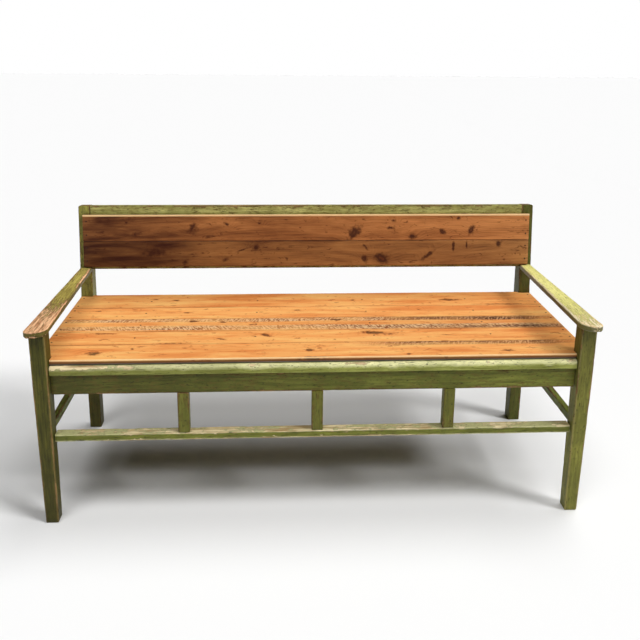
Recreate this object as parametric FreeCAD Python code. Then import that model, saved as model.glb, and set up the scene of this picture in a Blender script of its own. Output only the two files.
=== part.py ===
import FreeCAD, Part
import math
import os

# A Swedish pull-out bench bed: a painted pine bench whose whole front slides out
# on slats, carried on two legs that fold down behind the apron.
# Millimetres. +X is the viewer's right, -Y the front, +Z up. The origin is on the
# floor under the middle of the bounding box.

# Overall sizes
frame_length = 1660.0        # over the outer faces of the legs
frame_depth = 560.0          # front faces of the front legs to those of the rear posts
seat_height = 528.0          # top of the seat boards
arm_rise = 107.0             # top of the arm boards above the seat
back_rise = 222.0            # top of the rear posts above the arm boards
back_lean = 40.0             # how far the posts' tops stand behind their feet
cut_overrun = 5.0            # how far a cutting solid runs past what it cuts

# Front legs and rear posts
leg_width = 46.0
leg_depth = 46.0
foot_width = 39.0
foot_depth = 39.0
foot_inner_inset = 3.0       # the inner faces stay nearly plumb
foot_front_inset = 2.0
leg_arris = 2.0              # planed-off corners
leg_tenon_side = 26.0
leg_tenon_length = 12.0
post_width = 42.0
post_depth = 56.0
post_foot_depth = 46.0
post_top_depth = 36.0
post_arris = 1.5

# Arm boards
arm_thickness = 19.0
arm_front_width = 66.0
arm_rear_width = 42.0
arm_side_overhang = 9.0      # past the leg's outer face, at the front
arm_rear_inset = 1.0         # inside the post's outer face, at the rear
arm_nose = 26.0              # past the leg's front face
arm_inner_radius = 38.0      # corners of the nose, in plan
arm_outer_radius = 18.0
arm_arris = 3.0
arm_under_arris = 1.5
arm_tenon_width = 26.0
arm_tenon_height = 9.0
arm_tenon_length = 22.0

# Seat
seat_thickness = 15.0
seat_setback = 20.0          # front edge behind the legs' front faces
seat_side_inset = 1.0
seat_board_shares = (0.198, 0.186, 0.194, 0.194, 0.228)
board_joint = 0.6            # open line between two boards
board_arris = 1.0
notch_fit = 1.0              # round the front legs and rear posts
seat_rear_bearing = 10.0     # of the last board on the rear seat rail

# Back
back_board_shares = (0.418, 0.432)   # of the height between the arms and the posts' tops
top_rail_share = 0.28
bottom_rail_share = 0.165    # the part of the bottom rail behind the lower board
back_tenon_share = 0.6       # of a back rail's height
back_nail_share = 0.24       # of a board's height, from its long edges
back_board_thickness = 14.0
back_board_end_inset = 17.0
back_board_gap = 2.0         # above the arm boards
bottom_rail_drop = 10.0      # below the lower board
back_rail_thickness = 26.0

# Rails and stretchers of the fixed frame
side_rail_height = 80.0
side_rail_thickness = 24.0
side_rail_inset = 4.0
side_stretcher_share = 0.519 # of the seat's height, to its underside
side_stretcher_height = 26.0
side_stretcher_width = 20.0
side_stretcher_inset = 16.0  # outside the leg's inner face
cross_rail_clearance = 13.9  # behind the heads of the pivot screws
cross_rail_thickness = 24.0
cross_rail_height = 54.0
rear_rail_height = 80.0
rear_rail_thickness = 24.0
runner_width = 16.0
runner_height = 16.0

# Tenons: thickness, shoulder above and below, length
tenon_fit = 0.2
rail_tenon_thickness = 10.0
rail_tenon_shoulder = 12.0
rail_tenon_length = 30.0
tenon_gap = 3.0              # between two tenons in one post
stretcher_tenon_thickness = 8.0
stretcher_tenon_shoulder = 4.0
stretcher_tenon_length = 24.0
cross_tenon_length = 14.0

# Pull-out front
front_end_gap = 2.0          # between its ends and the front legs
front_top_gap = 2.0          # under the seat boards
moulding_setback = 8.0
moulding_height = 27.0
moulding_round = 11.0
moulding_bead = 2.0          # small round on the lower edge
apron_setback = 16.0
apron_thickness = 24.0
apron_height = 63.0
tongue_thickness = 7.0
tongue_height = 7.0
tongue_setback = 4.0
stretcher_setback = 13.0
stretcher_depth = 32.0
stretcher_share = 0.5076     # of the seat's height, to its underside
stretcher_height = 24.0
stretcher_arris = 2.0
upright_width = 34.0
upright_depth = 30.0
upright_spacing_share = 0.241   # of the frame's length
upright_tenon_thickness = 10.0
upright_tenon_width = 24.0
upright_tenon_up = 40.0
upright_tenon_down = 16.0

# Sliding slats and the fixed battens between them
crossbar_rear_gap = 9.5      # between the crossbar and the rear seat rail
stop_gap = 0.5               # left between crossbar and cross rail at full travel
slide_fit = 0.3
slat_count = 8
slat_pitch_share = 0.1203    # of the length between the legs
slat_width = 80.0
slat_thickness = 22.0
slat_housing = 12.0          # length let into the moulding rail
batten_count = 4
batten_width = 45.0
batten_relief = 2.5          # raised behind the cross rail, so the crossbar passes
crossbar_width = 24.0
crossbar_height = 30.0
crossbar_end_gap = 3.0

# Folding prop legs
prop_place_share = 0.4217    # of the frame's length, from the middle
prop_width = 28.0
prop_thickness = 22.0
prop_floor_gap = 1.5
prop_arris = 1.5
prop_side_play = 0.3
pivot_rise = 31.0            # above the apron's lower edge
pivot_block_thickness = 9.0
pivot_block_height = 48.0
pivot_block_inner = 25.0     # from the pivot towards the middle
pivot_block_outer = 32.0
stop_gap_at_prop = 0.3
stop_lug_height = 22.0
screw_radius = 4.0
screw_fit = 0.06
screw_head_radius = 8.0
screw_head_height = 5.0
screw_slot_width = 1.6
screw_slot_depth = 1.4
screw_bite = 18.0            # into the apron
washer_radius = 11.0
washer_thickness = 1.5

# Pegs and nails
peg_radius = 4.0
peg_fit = 0.06
peg_proud = 0.6
peg_height_share = 0.55      # of a tenon's length, from its shoulder
slat_peg_bite = 14.0
nail_head = 6.0
nail_head_height = 1.2
nail_shank = 2.8
nail_length = 30.0
nail_fit = 0.05
nail_edge = 22.0             # from a seat board's long edge

# Places worked out from the sizes
half_length = frame_length / 2
arm_height = seat_height + arm_rise
back_height = arm_height + back_rise
total_depth = arm_nose + frame_depth + back_lean + post_top_depth
front_y = arm_nose - total_depth / 2
rear_y = front_y + frame_depth
leg_inner = half_length - leg_width
leg_back = front_y + leg_depth
leg_top = arm_height - arm_thickness
post_inner = half_length - post_width
seat_under = seat_height - seat_thickness
lean_angle = math.degrees(math.atan2(back_lean, back_height - seat_height))
slope = math.hypot(back_lean, back_height - seat_height)
lean_cosine = (back_height - seat_height) / slope

side_outer = half_length - side_rail_inset
side_inner = side_outer - side_rail_thickness
side_bottom = seat_under - side_rail_height
side_stretcher_bottom = seat_height * side_stretcher_share
side_tenon_x = side_inner + (side_rail_thickness - rail_tenon_thickness) / 2
short_tenon_length = side_tenon_x - tenon_gap - post_inner
rail_top = seat_under - slat_thickness - slide_fit - front_top_gap - batten_relief

front_half = leg_inner - front_end_gap
moulding_top = seat_under - front_top_gap
moulding_bottom = moulding_top - moulding_height
apron_front = front_y + apron_setback
apron_back = apron_front + apron_thickness
apron_bottom = moulding_bottom - apron_height
stretcher_front = front_y + stretcher_setback
stretcher_bottom = seat_height * stretcher_share
stretcher_top = stretcher_bottom + stretcher_height
upright_spacing = frame_length * upright_spacing_share
upright_places = (-upright_spacing, 0.0, upright_spacing)
upright_middle = stretcher_front + upright_depth / 2

slat_bottom = rail_top + slide_fit
slat_front = apron_back - slat_housing
crossbar_back = rear_y - crossbar_rear_gap
crossbar_front = crossbar_back - crossbar_width
crossbar_bottom = slat_bottom - crossbar_height
runner_top = crossbar_bottom - slide_fit
slat_pitch = 2 * leg_inner * slat_pitch_share
slat_places = [(i - (slat_count - 1) / 2) * slat_pitch for i in range(slat_count)]
batten_places = [(2 * i - batten_count + 1) * slat_pitch for i in range(batten_count)]

prop_x = frame_length * prop_place_share
pivot_height = apron_bottom + pivot_rise
block_back = apron_back + pivot_block_thickness
prop_front = block_back + prop_side_play
prop_back = prop_front + prop_thickness
washer_front = prop_back + prop_side_play
washer_back = washer_front + washer_thickness
cross_front = washer_back + screw_head_height + cross_rail_clearance
cross_back = cross_front + cross_rail_thickness
travel = crossbar_front - cross_back - stop_gap

back_board_bottom = seat_height + (arm_height + back_board_gap - seat_height) / lean_cosine
back_rail_top = seat_height + slope      # flush with the posts' tops
back_space = back_rail_top - back_board_bottom
lower_board_height, upper_board_height = (back_space * share for share in back_board_shares)
upper_board_bottom = back_board_bottom + lower_board_height + board_joint
top_rail_height = back_space * top_rail_share
bottom_rail_height = back_space * bottom_rail_share + bottom_rail_drop


def block(x0, x1, y0, y1, z0, z1):
    return Part.makeBox(x1 - x0, y1 - y0, z1 - z0, FreeCAD.Vector(x0, y0, z0))


def grown(sides, fit):
    x0, x1, y0, y1, z0, z1 = sides
    return x0 - fit, x1 + fit, y0 - fit, y1 + fit, z0 - fit, z1 + fit


def hole_for(sides):
    return block(*grown(sides, tenon_fit))


def mirrored(shape):
    return shape.mirror(FreeCAD.Vector(0, 0, 0), FreeCAD.Vector(1, 0, 0))


def both_ends(shape):
    return [shape, mirrored(shape)]


def leaned(shape):
    """Lean a piece of the back, drawn upright, about the seat line of the posts."""
    turned = shape.copy()
    turned.rotate(FreeCAD.Vector(0, rear_y, seat_height), FreeCAD.Vector(1, 0, 0), -lean_angle)
    return turned


def rod(radius, start, direction, length):
    return Part.makeCylinder(radius, length, FreeCAD.Vector(*start), FreeCAD.Vector(*direction))


def peg(radius, start, direction, length):
    """A riven peg: eight flats, as they are shaved before they are driven."""
    centre = FreeCAD.Vector(*start)
    along = FreeCAD.Vector(*direction)
    across = FreeCAD.Vector(direction[1], direction[2], direction[0])
    up = along.cross(across)
    turns = [math.radians(22.5 + 45 * i) for i in range(8)]
    corners = [centre + across * (radius * math.cos(a)) + up * (radius * math.sin(a)) for a in turns]
    face = Part.Face(Part.makePolygon(corners + corners[:1]))
    return face.extrude(along * length)


def prism_along_x(points, x0, x1):
    """Extrude an outline of (y, z) points from x0 to x1."""
    corners = [FreeCAD.Vector(x0, y, z) for y, z in points]
    face = Part.Face(Part.makePolygon(corners + corners[:1]))
    return face.extrude(FreeCAD.Vector(x1 - x0, 0, 0))


def long_edges(shape, axis):
    """Edges that run along one axis: 0 is X, 1 is Y, 2 is Z."""
    found = []
    for edge in shape.Edges:
        step = edge.Vertexes[-1].Point - edge.Vertexes[0].Point
        if abs(step[axis]) > step.Length * math.cos(math.radians(1)):
            found.append(edge)
    return found


def level_edges(shape, height):
    """Edges that lie level at one height."""
    return [e for e in shape.Edges if all(abs(v.Z - height) < slide_fit / 100 for v in e.Vertexes)]


# The tenons, each as one box that cuts its own mortise a little larger

def side_rail_tenons():
    z0 = side_bottom + rail_tenon_shoulder
    z1 = seat_under - rail_tenon_shoulder
    x1 = side_tenon_x + rail_tenon_thickness
    front = (side_tenon_x, x1, leg_back - rail_tenon_length, leg_back, z0, z1)
    rear = (side_tenon_x, x1, rear_y, rear_y + rail_tenon_length, z0, z1)
    return front, rear


def side_stretcher_sides():
    x0 = leg_inner + side_stretcher_inset
    z1 = side_stretcher_bottom + side_stretcher_height
    return x0, x0 + side_stretcher_width, leg_back, rear_y, side_stretcher_bottom, z1


def side_stretcher_tenons():
    x0, x1, y0, y1, z0, z1 = side_stretcher_sides()
    x0 += (side_stretcher_width - stretcher_tenon_thickness) / 2
    x1 = x0 + stretcher_tenon_thickness
    z0 += stretcher_tenon_shoulder
    z1 -= stretcher_tenon_shoulder
    front = (x0, x1, y0 - stretcher_tenon_length, y0, z0, z1)
    rear = (x0, x1, y1, y1 + stretcher_tenon_length, z0, z1)
    return front, rear


def leg_tenon():
    x0 = leg_inner + (leg_width - leg_tenon_side) / 2
    y0 = front_y + (leg_depth - leg_tenon_side) / 2
    return x0, x0 + leg_tenon_side, y0, y0 + leg_tenon_side, leg_top, leg_top + leg_tenon_length


def arm_tenon():
    x0 = half_length - arm_rear_inset - arm_rear_width / 2 - arm_tenon_width / 2
    x0 = max(x0, post_inner + (post_width - arm_tenon_width) / 2)
    z0 = leg_top + (arm_thickness - arm_tenon_height) / 2
    return x0, x0 + arm_tenon_width, rear_y, rear_y + arm_tenon_length, z0, z0 + arm_tenon_height


def cross_rail_tenon():
    y0 = cross_front + (cross_rail_thickness - rail_tenon_thickness) / 2
    z0 = rail_top - cross_rail_height + rail_tenon_shoulder
    z1 = rail_top - rail_tenon_shoulder
    return side_inner, side_inner + cross_tenon_length, y0, y0 + rail_tenon_thickness, z0, z1


def rear_rail_tenon():
    y0 = rear_y + (rear_rail_thickness - rail_tenon_thickness) / 2
    z1 = seat_under - rail_tenon_shoulder
    z0 = z1 - rear_rail_height + 2 * rail_tenon_shoulder
    return post_inner, post_inner + short_tenon_length, y0, y0 + rail_tenon_thickness, z0, z1


def back_rail_tenon(rail_bottom, rail_height):
    """Drawn upright, like the rest of the back."""
    y0 = rear_y + (back_rail_thickness - rail_tenon_thickness) / 2
    z0 = rail_bottom + rail_height * (1 - back_tenon_share) / 2
    z1 = z0 + rail_height * back_tenon_share
    return post_inner, post_inner + rail_tenon_length, y0, y0 + rail_tenon_thickness, z0, z1


def top_rail_tenon():
    return back_rail_tenon(back_rail_top - top_rail_height, top_rail_height)


def bottom_rail_tenon():
    return back_rail_tenon(back_board_bottom - bottom_rail_drop, bottom_rail_height)


def upright_tenons(x):
    x0 = x - upright_tenon_width / 2
    x1 = x0 + upright_tenon_width
    y0 = upright_middle - upright_tenon_thickness / 2
    y1 = y0 + upright_tenon_thickness
    up = (x0, x1, y0, y1, apron_bottom, apron_bottom + upright_tenon_up)
    down = (x0, x1, y0, y1, stretcher_top - upright_tenon_down, stretcher_top)
    return up, down


# Pegs and nails, with the holes they sit in

def square_nail(x, y, z, length, fit):
    """A wrought nail whose head lies flush at z and whose shank points down."""
    half_head = nail_head / 2 + fit
    half_shank = nail_shank / 2 + fit
    head = block(x - half_head, x + half_head, y - half_head, y + half_head, z - nail_head_height, z)
    shank = block(x - half_shank, x + half_shank, y - half_shank, y + half_shank, z - length - fit, z)
    return head.fuse(shank).removeSplitter()


def board_limits(i):
    """Front and rear edges of seat board i, counted from the front."""
    depth = rear_y - front_y - seat_setback
    y0 = front_y + seat_setback + depth * sum(seat_board_shares[:i])
    y1 = y0 + depth * seat_board_shares[i] - board_joint
    return y0, y1


def seat_nail_places():
    places = []
    for i in range(len(seat_board_shares)):
        y0, y1 = board_limits(i)
        ends = (y0 + nail_edge, y1 - nail_edge)
        if i == 0:
            ends = (leg_back + nail_edge, y1 - nail_edge)
        for x in (-(side_outer + side_inner) / 2, (side_outer + side_inner) / 2):
            places += [(x, y) for y in ends]
        if (y0 + y1) / 2 > cross_back:
            places += [(x, (y0 + y1) / 2) for x in batten_places]
    return places


def seat_nails(fit):
    return [square_nail(x, y, seat_height, nail_length, fit) for x, y in seat_nail_places()]


def back_nails(fit):
    nails = []
    end_x = (post_inner + half_length - back_board_end_inset) / 2
    for bottom, height in ((back_board_bottom, lower_board_height), (upper_board_bottom, upper_board_height)):
        for z in (bottom + height * back_nail_share, bottom + height * (1 - back_nail_share)):
            for x in (-end_x, end_x):
                nail = square_nail(x, 0, 0, nail_length, fit)
                nail.rotate(FreeCAD.Vector(x, 0, 0), FreeCAD.Vector(1, 0, 0), 90)
                nail.translate(FreeCAD.Vector(0, rear_y - back_board_thickness, z))
                nails.append(leaned(nail))
    return nails


def upright_pegs(fit):
    z = apron_bottom + upright_tenon_up * peg_height_share
    y = apron_front - peg_proud
    length = apron_thickness + peg_proud
    return [peg(peg_radius + fit, (x, y, z), (0, 1, 0), length) for x in upright_places]


def rail_pegs(fit):
    """Pegs across the legs and posts, through the side rails' tenons."""
    pegs = []
    z = (side_bottom + seat_under) / 2
    reach = rail_tenon_length * (1 - peg_height_share)
    for y, inner in ((leg_back - reach, leg_inner), (rear_y + reach, post_inner)):
        length = half_length + peg_proud - inner
        pegs += both_ends(peg(peg_radius + fit, (inner, y, z), (1, 0, 0), length))
    return pegs


def slat_pegs(fit):
    pegs = []
    top = slat_bottom + slat_thickness
    for x in slat_places:
        for y in (slat_front + slat_housing / 2, (crossbar_front + crossbar_back) / 2):
            length = slat_thickness + slat_peg_bite + fit
            pegs.append(peg(peg_radius + fit, (x, y, top), (0, 0, -1), length))
    return pegs


def pivot_holes(fit):
    """Screw shanks at both pivots, blind in the apron."""
    start = apron_back - screw_bite - fit
    length = washer_back - start
    shank = rod(screw_radius + fit, (prop_x, start, pivot_height), (0, 1, 0), length)
    return both_ends(shank)


# Fixed frame

def corner_wire(x0, x1, y0, y1, z):
    a = leg_arris
    points = [(x0 + a, y0), (x1 - a, y0), (x1, y0 + a), (x1, y1 - a),
              (x1 - a, y1), (x0 + a, y1), (x0, y1 - a), (x0, y0 + a)]
    corners = [FreeCAD.Vector(x, y, z) for x, y in points]
    return Part.makePolygon(corners + corners[:1])


def front_leg_blank():
    """Square down to the apron's lower edge, then tapered to the foot."""
    foot_x = leg_inner + foot_inner_inset
    foot_y = front_y + foot_front_inset
    shoulder = corner_wire(leg_inner, half_length, front_y, leg_back, apron_bottom)
    foot = corner_wire(foot_x, foot_x + foot_width, foot_y, foot_y + foot_depth, 0)
    lower = Part.makeLoft([foot, shoulder], True, True)
    upper = Part.Face(shoulder).extrude(FreeCAD.Vector(0, 0, leg_top - apron_bottom))
    return lower.fuse(upper).removeSplitter()


def front_leg():
    leg = front_leg_blank().fuse(block(*leg_tenon()))
    cutters = [hole_for(side_rail_tenons()[0]), hole_for(side_stretcher_tenons()[0])]
    return leg.cut(cutters + rail_pegs(peg_fit)).removeSplitter()


def rear_post():
    """Straight below the seat, leaning above it, thinner at both ends, its top sawn square."""
    fall = post_top_depth * back_lean / (back_height - seat_height)
    points = [(rear_y, 0), (rear_y + post_foot_depth, 0), (rear_y + post_depth, seat_height),
              (rear_y + back_lean + post_top_depth, back_height - fall),
              (rear_y + back_lean, back_height), (rear_y, seat_height)]
    blank = prism_along_x(points, post_inner, half_length)
    post = blank.makeChamfer(post_arris, [e for e in blank.Edges if e not in long_edges(blank, 0)])
    cutters = [hole_for(side_rail_tenons()[1]), hole_for(side_stretcher_tenons()[1])]
    cutters += [hole_for(rear_rail_tenon()), hole_for(arm_tenon())]
    cutters += [leaned(hole_for(top_rail_tenon())), leaned(hole_for(bottom_rail_tenon()))]
    return post.cut(cutters + rail_pegs(peg_fit) + back_nails(nail_fit)).removeSplitter()


def arm():
    """Wide at the front with a rounded nose, narrower towards the post."""
    front_outer = half_length + arm_side_overhang
    rear_outer = half_length - arm_rear_inset
    nose_y = front_y - arm_nose
    end_y = rear_y + arm_tenon_length
    points = [(front_outer, nose_y), (rear_outer, end_y),
              (rear_outer - arm_rear_width, end_y), (front_outer - arm_front_width, nose_y)]
    corners = [FreeCAD.Vector(x, y, leg_top) for x, y in points]
    board = Part.Face(Part.makePolygon(corners + corners[:1])).extrude(FreeCAD.Vector(0, 0, arm_thickness))
    for radius, pick in ((arm_inner_radius, min), (arm_outer_radius, max)):
        corners = [e for e in long_edges(board, 2) if e.BoundBox.YMax < front_y]
        board = board.makeFillet(radius, [pick(corners, key=lambda e: e.BoundBox.XMin)])
    lower = [e for e in level_edges(board, leg_top) if e.BoundBox.YMin < rear_y]
    board = board.makeChamfer(arm_under_arris, lower)
    upper = [e for e in level_edges(board, arm_height) if e.BoundBox.YMin < rear_y]
    board = board.makeFillet(arm_arris, upper)
    behind = leaned(block(0, front_outer, rear_y, end_y + arm_tenon_length, seat_height, back_height))
    board = board.cut(behind).fuse(block(*arm_tenon()))
    return board.cut(hole_for(leg_tenon())).removeSplitter()


def side_rail():
    rail = block(side_inner, side_outer, leg_back, rear_y, side_bottom, seat_under)
    front, rear = side_rail_tenons()
    rail = rail.fuse([block(*front), block(*rear)])
    return rail.cut([hole_for(cross_rail_tenon())] + rail_pegs(peg_fit) + seat_nails(nail_fit)).removeSplitter()


def side_stretcher():
    """Its front shoulder is scribed to the tapering leg."""
    x0, x1, y0, y1, z0, z1 = side_stretcher_sides()
    bar = block(x0, x1, y0 - leg_depth / 2, y1, z0, z1)
    bar = bar.makeChamfer(stretcher_arris, long_edges(bar, 1)).cut(front_leg_blank())
    front, rear = side_stretcher_tenons()
    return bar.fuse([block(*front), block(*rear)]).removeSplitter()


def front_cross_rail():
    """Carries the battens and the sliding slats, and stops the crossbar."""
    rail = block(-side_inner, side_inner, cross_front, cross_back, rail_top - cross_rail_height, rail_top)
    return rail.fuse(both_ends(block(*cross_rail_tenon()))).removeSplitter()


def rear_seat_rail():
    rail = block(-post_inner, post_inner, rear_y, rear_y + rear_rail_thickness,
                 seat_under - rear_rail_height, seat_under)
    rail = rail.fuse(both_ends(block(*rear_rail_tenon()))).removeSplitter()
    return rail.cut(rail_pegs(peg_fit))


def runner():
    return block(side_inner - runner_width, side_inner, cross_back, rear_y, runner_top - runner_height, runner_top)


def back_rail(bottom, height, tenon):
    rail = block(-post_inner, post_inner, rear_y, rear_y + back_rail_thickness, bottom, bottom + height)
    rail = rail.makeChamfer(board_arris, long_edges(rail, 0))
    return leaned(rail.fuse(both_ends(block(*tenon))).removeSplitter()).cut(back_nails(nail_fit))


def back_board(bottom, height):
    end = half_length - back_board_end_inset
    board = block(-end, end, rear_y - back_board_thickness, rear_y, bottom, bottom + height)
    front = [e for e in board.Edges if e.BoundBox.YMax < rear_y - back_board_thickness / 2]
    return leaned(board.makeChamfer(board_arris, front)).cut(back_nails(nail_fit))


def seat_notch(inner, y0, y1):
    """Cut from both ends of a seat board, round a pair of legs or posts."""
    return both_ends(block(inner - notch_fit, half_length + cut_overrun, y0, y1,
                           seat_under - cut_overrun, seat_height + cut_overrun))


def seat_board(i):
    """The first and last boards are notched; the last one lies on the rear rail."""
    y0, y1 = board_limits(i)
    last = i == len(seat_board_shares) - 1
    end = half_length - seat_side_inset
    back = rear_y + seat_rear_bearing if last else y1
    board = block(-end, end, y0, back, seat_under, seat_height)
    board = board.makeChamfer(board_arris, level_edges(board, seat_height))
    if i == 0:
        board = board.cut(seat_notch(leg_inner, y0 - cut_overrun, leg_back + notch_fit))
    if last:
        board = board.cut(seat_notch(post_inner, y1, back + cut_overrun))
    return board.cut(seat_nails(nail_fit)).removeSplitter()


def seat_batten(x):
    """Full depth where it rests on the cross rail, relieved behind it."""
    relief = rail_top + batten_relief
    points = [(cross_front, rail_top), (cross_back, rail_top), (cross_back, relief), (rear_y, relief),
              (rear_y, seat_under), (cross_front, seat_under)]
    batten = prism_along_x(points, x - batten_width / 2, x + batten_width / 2)
    return batten.cut(seat_nails(nail_fit)).removeSplitter()


# Pull-out front and bed

def moulding_outline():
    """The rail's end, with its rounded top edge and a small round below."""
    y0 = front_y + moulding_setback
    z0, z1 = moulding_bottom, moulding_top
    r, b = moulding_round, moulding_bead
    half = math.sqrt(0.5)
    back_top = FreeCAD.Vector(0, apron_back, z1)
    top = FreeCAD.Vector(0, y0 + r, z1)
    crown = FreeCAD.Vector(0, y0 + r - r * half, z1 - r + r * half)
    face_top = FreeCAD.Vector(0, y0, z1 - r)
    face_low = FreeCAD.Vector(0, y0, z0 + b)
    heel = FreeCAD.Vector(0, y0 + b - b * half, z0 + b - b * half)
    low = FreeCAD.Vector(0, y0 + b, z0)
    back_low = FreeCAD.Vector(0, apron_back, z0)
    edges = [Part.makeLine(back_top, top), Part.Arc(top, crown, face_top).toShape(),
             Part.makeLine(face_top, face_low), Part.Arc(face_low, heel, low).toShape(),
             Part.makeLine(low, back_low), Part.makeLine(back_low, back_top)]
    return Part.Face(Part.Wire(edges))


def tongue(fit):
    y0 = apron_front + tongue_setback
    return block(-front_half, front_half, y0 - fit, y0 + tongue_thickness + fit,
                 moulding_bottom, moulding_bottom + tongue_height + fit)


def slat_housings():
    half = slat_width / 2 + tenon_fit
    return [block(x - half, x + half, slat_front - tenon_fit, apron_back + cut_overrun,
                  slat_bottom, moulding_top + cut_overrun) for x in slat_places]


def front_moulding():
    """Head rail of the pull-out front, with open housings for the slats."""
    face = moulding_outline()
    face.translate(FreeCAD.Vector(-front_half, 0, 0))
    rail = face.extrude(FreeCAD.Vector(2 * front_half, 0, 0)).cut(tongue(tenon_fit))
    return rail.cut(slat_housings() + slat_pegs(peg_fit)).removeSplitter()


def apron():
    board = block(-front_half, front_half, apron_front, apron_back, apron_bottom, moulding_bottom)
    board = board.fuse(tongue(0)).removeSplitter()
    cutters = [hole_for(upright_tenons(x)[0]) for x in upright_places] + slat_housings()
    cutters += upright_pegs(peg_fit) + slat_pegs(peg_fit) + pivot_holes(screw_fit)
    return board.cut(cutters).removeSplitter()


def lower_stretcher():
    bar = block(-front_half, front_half, stretcher_front, stretcher_front + stretcher_depth,
                stretcher_bottom, stretcher_top)
    bar = bar.makeChamfer(stretcher_arris, long_edges(bar, 0))
    return bar.cut([hole_for(upright_tenons(x)[1]) for x in upright_places])


def upright(x):
    post = block(x - upright_width / 2, x + upright_width / 2, stretcher_front,
                 stretcher_front + upright_depth, stretcher_top, apron_bottom)
    up, down = upright_tenons(x)
    return post.fuse([block(*up), block(*down)]).removeSplitter().cut(upright_pegs(peg_fit))


def bed_slat(x):
    slat = block(x - slat_width / 2, x + slat_width / 2, slat_front, crossbar_back,
                 slat_bottom, slat_bottom + slat_thickness)
    slat = slat.makeChamfer(board_arris, level_edges(slat, slat_bottom + slat_thickness))
    return slat.cut(slat_pegs(peg_fit))


def slide_crossbar():
    """Ties the slats' rear ends and rides on the runners."""
    end = side_inner - crossbar_end_gap
    bar = block(-end, end, crossbar_front, crossbar_back, crossbar_bottom, slat_bottom)
    return bar.cut(slat_pegs(peg_fit))


# Prop legs

def pivot_block():
    """Packs the prop leg clear of the stretcher, with a lug that stops it upright."""
    z0 = pivot_height - pivot_block_height / 2
    lug_x = prop_x + prop_width / 2 + stop_gap_at_prop
    plate = block(prop_x - pivot_block_inner, prop_x + pivot_block_outer, apron_back, block_back,
                  z0, z0 + pivot_block_height)
    lug = block(lug_x, prop_x + pivot_block_outer, apron_back, prop_back, z0, z0 + stop_lug_height)
    return plate.fuse(lug).removeSplitter().cut(pivot_holes(screw_fit))


def prop_leg():
    """Stored flat behind the apron, rounded where it turns on its screw."""
    radius = prop_width / 2
    reach = pivot_height - prop_floor_gap
    shaft = block(prop_x - reach, prop_x, prop_front, prop_back, pivot_height - radius, pivot_height + radius)
    end = rod(radius, (prop_x, prop_front, pivot_height), (0, 1, 0), prop_thickness)
    shaft = shaft.makeChamfer(prop_arris, [e for e in long_edges(shaft, 0)])
    return shaft.fuse(end).removeSplitter().cut(pivot_holes(screw_fit))


def pivot_screw():
    head = rod(screw_head_radius, (prop_x, washer_back, pivot_height), (0, 1, 0), screw_head_height)
    slot = block(prop_x - screw_head_radius, prop_x + screw_head_radius,
                 washer_back + screw_head_height - screw_slot_depth, washer_back + screw_head_height + cut_overrun,
                 pivot_height - screw_slot_width / 2, pivot_height + screw_slot_width / 2)
    return head.cut(slot).fuse(pivot_holes(0)[0]).removeSplitter()


def pivot_washer():
    disc = rod(washer_radius, (prop_x, washer_front, pivot_height), (0, 1, 0), washer_thickness)
    return disc.cut(pivot_holes(screw_fit))


def pieces():
    """Every node of the bench with its solid or group of solids."""
    found = {}
    paired = {"front_leg": front_leg(), "rear_post": rear_post(), "arm": arm(),
              "side_rail": side_rail(), "side_stretcher": side_stretcher(), "slide_runner": runner(),
              "pivot_block": pivot_block(), "prop_leg": prop_leg(), "pivot_screw": pivot_screw(),
              "pivot_washer": pivot_washer()}
    for name, shape in paired.items():
        found["right_" + name] = shape
        found["left_" + name] = mirrored(shape)
    found["front_cross_rail"] = front_cross_rail()
    found["rear_seat_rail"] = rear_seat_rail()
    found["back_top_rail"] = back_rail(back_rail_top - top_rail_height, top_rail_height, top_rail_tenon())
    found["back_bottom_rail"] = back_rail(back_board_bottom - bottom_rail_drop, bottom_rail_height,
                                          bottom_rail_tenon())
    found["back_board_lower"] = back_board(back_board_bottom, lower_board_height)
    found["back_board_upper"] = back_board(upper_board_bottom, upper_board_height)
    for i in range(len(seat_board_shares)):
        found["seat_board_%d" % (i + 1)] = seat_board(i)
    for i, x in enumerate(batten_places):
        found["seat_batten_%d" % (i + 1)] = seat_batten(x)
    found["front_moulding"] = front_moulding()
    found["apron"] = apron()
    found["lower_stretcher"] = lower_stretcher()
    for name, x in zip(("left", "middle", "right"), upright_places):
        found["%s_upright" % name] = upright(x)
    for i, x in enumerate(slat_places):
        found["bed_slat_%d" % (i + 1)] = bed_slat(x)
    found["slide_crossbar"] = slide_crossbar()
    found["upright_pegs"] = Part.makeCompound(upright_pegs(0))
    found["slat_pegs"] = Part.makeCompound(slat_pegs(0))
    found["side_rail_pegs"] = Part.makeCompound(rail_pegs(0))
    found["seat_nails"] = Part.makeCompound(seat_nails(0))
    found["back_nails"] = Part.makeCompound(back_nails(0))
    return found


os.makedirs("parts", exist_ok=True)
for name, shape in sorted(pieces().items()):
    shape.exportStep("parts/%s.step" % name)
    print(name, len(shape.Solids), "valid" if shape.isValid() else "NOT VALID", round(shape.Volume))
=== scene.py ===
import bpy
import bmesh
import math
from mathutils import Matrix, Vector, noise


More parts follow.
